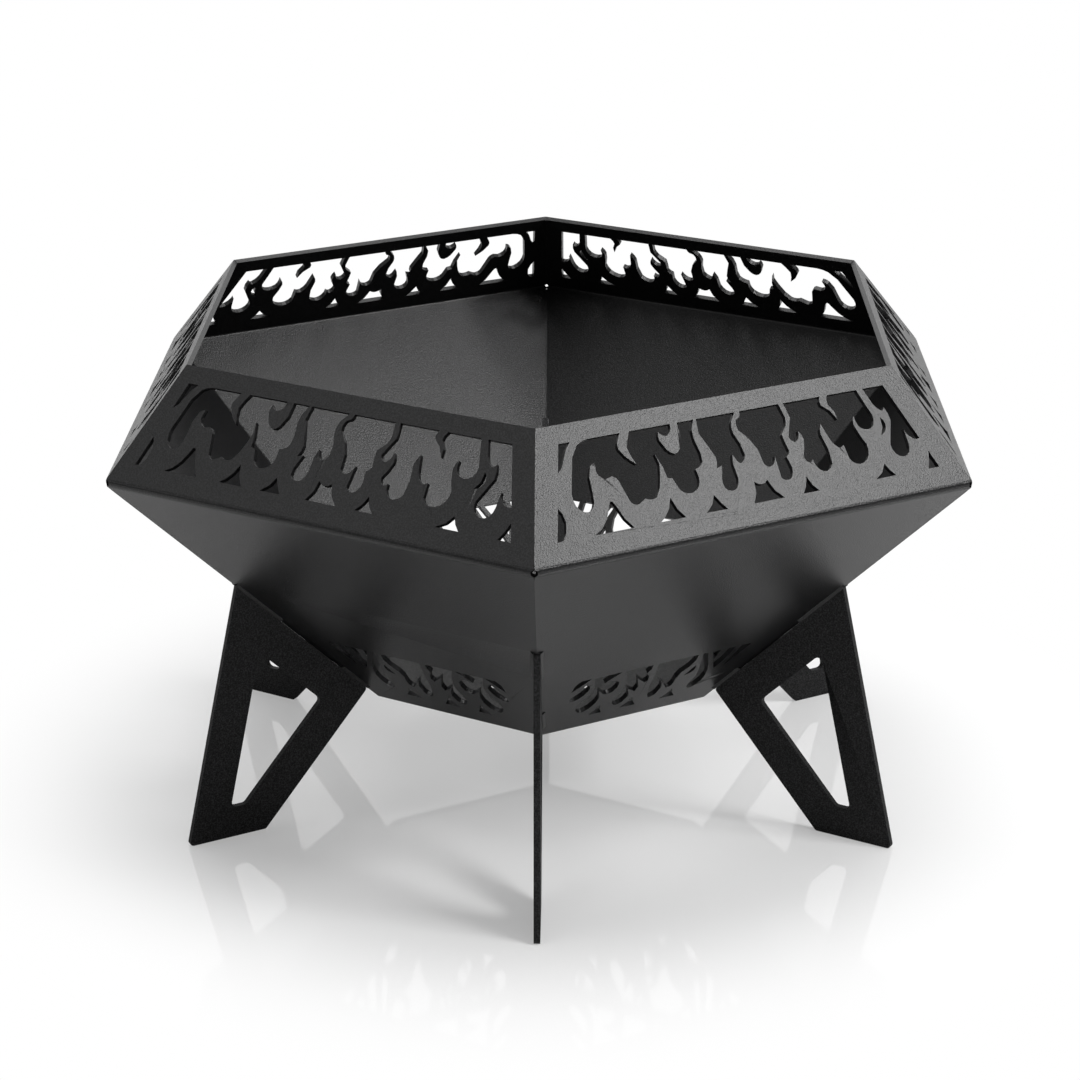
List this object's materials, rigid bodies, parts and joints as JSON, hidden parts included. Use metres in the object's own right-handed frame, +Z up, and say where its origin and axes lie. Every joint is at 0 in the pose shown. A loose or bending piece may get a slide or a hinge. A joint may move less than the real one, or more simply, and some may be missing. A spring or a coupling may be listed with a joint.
{
  "type": "fire pit",
  "caption": "Hexagonal fire pit: a folded sheet-steel bowl cut with flame shapes, standing on plug-in plate legs that hook into its corner seams.",
  "frame": {"origin": "on the ground under the middle of the bowl, at the height of the feet", "axes": "+Z up; Y runs through two opposite corners, -Y to the front corner of the picture; +X to the right seen from the front"},
  "size_m": [0.5202, 0.5994, 0.3187],
  "materials": {
    "panel": "fine-textured matt black powder coat",
    "leg": "fine-textured matt black powder coat",
    "plate": "fine-textured matt black powder coat"
  },
  "bodies": {
    "bowl": {"side_panel_front_right": "panel", "side_panel_right": "panel", "side_panel_back_right": "panel", "side_panel_back_left": "panel", "side_panel_left": "panel", "side_panel_front_left": "panel", "base_plate": "plate"},
    "front_leg": {"leg_front": "leg"},
    "front_right_leg": {"leg_front_right": "leg"},
    "back_right_leg": {"leg_back_right": "leg"},
    "back_leg": {"leg_back": "leg"},
    "back_left_leg": {"leg_back_left": "leg"},
    "front_left_leg": {"leg_front_left": "leg"}
  },
  "joints": [
    {"name": "front_leg_slide", "type": "slide", "parent": "bowl", "child": "front_leg", "axis": [0, 0.7097, -0.7045], "range_m": [0, 0.0145]},
    {"name": "front_right_leg_slide", "type": "slide", "parent": "bowl", "child": "front_right_leg", "axis": [-0.6146, 0.3548, -0.7045], "range_m": [0, 0.0145]},
    {"name": "back_right_leg_slide", "type": "slide", "parent": "bowl", "child": "back_right_leg", "axis": [-0.6146, -0.3548, -0.7045], "range_m": [0, 0.0145]},
    {"name": "back_leg_slide", "type": "slide", "parent": "bowl", "child": "back_leg", "axis": [0, -0.7097, -0.7045], "range_m": [0, 0.0145]},
    {"name": "back_left_leg_slide", "type": "slide", "parent": "bowl", "child": "back_left_leg", "axis": [0.6146, -0.3548, -0.7045], "range_m": [0, 0.0145]},
    {"name": "front_left_leg_slide", "type": "slide", "parent": "bowl", "child": "front_left_leg", "axis": [0.6146, 0.3548, -0.7045], "range_m": [0, 0.0145]}
  ]
}
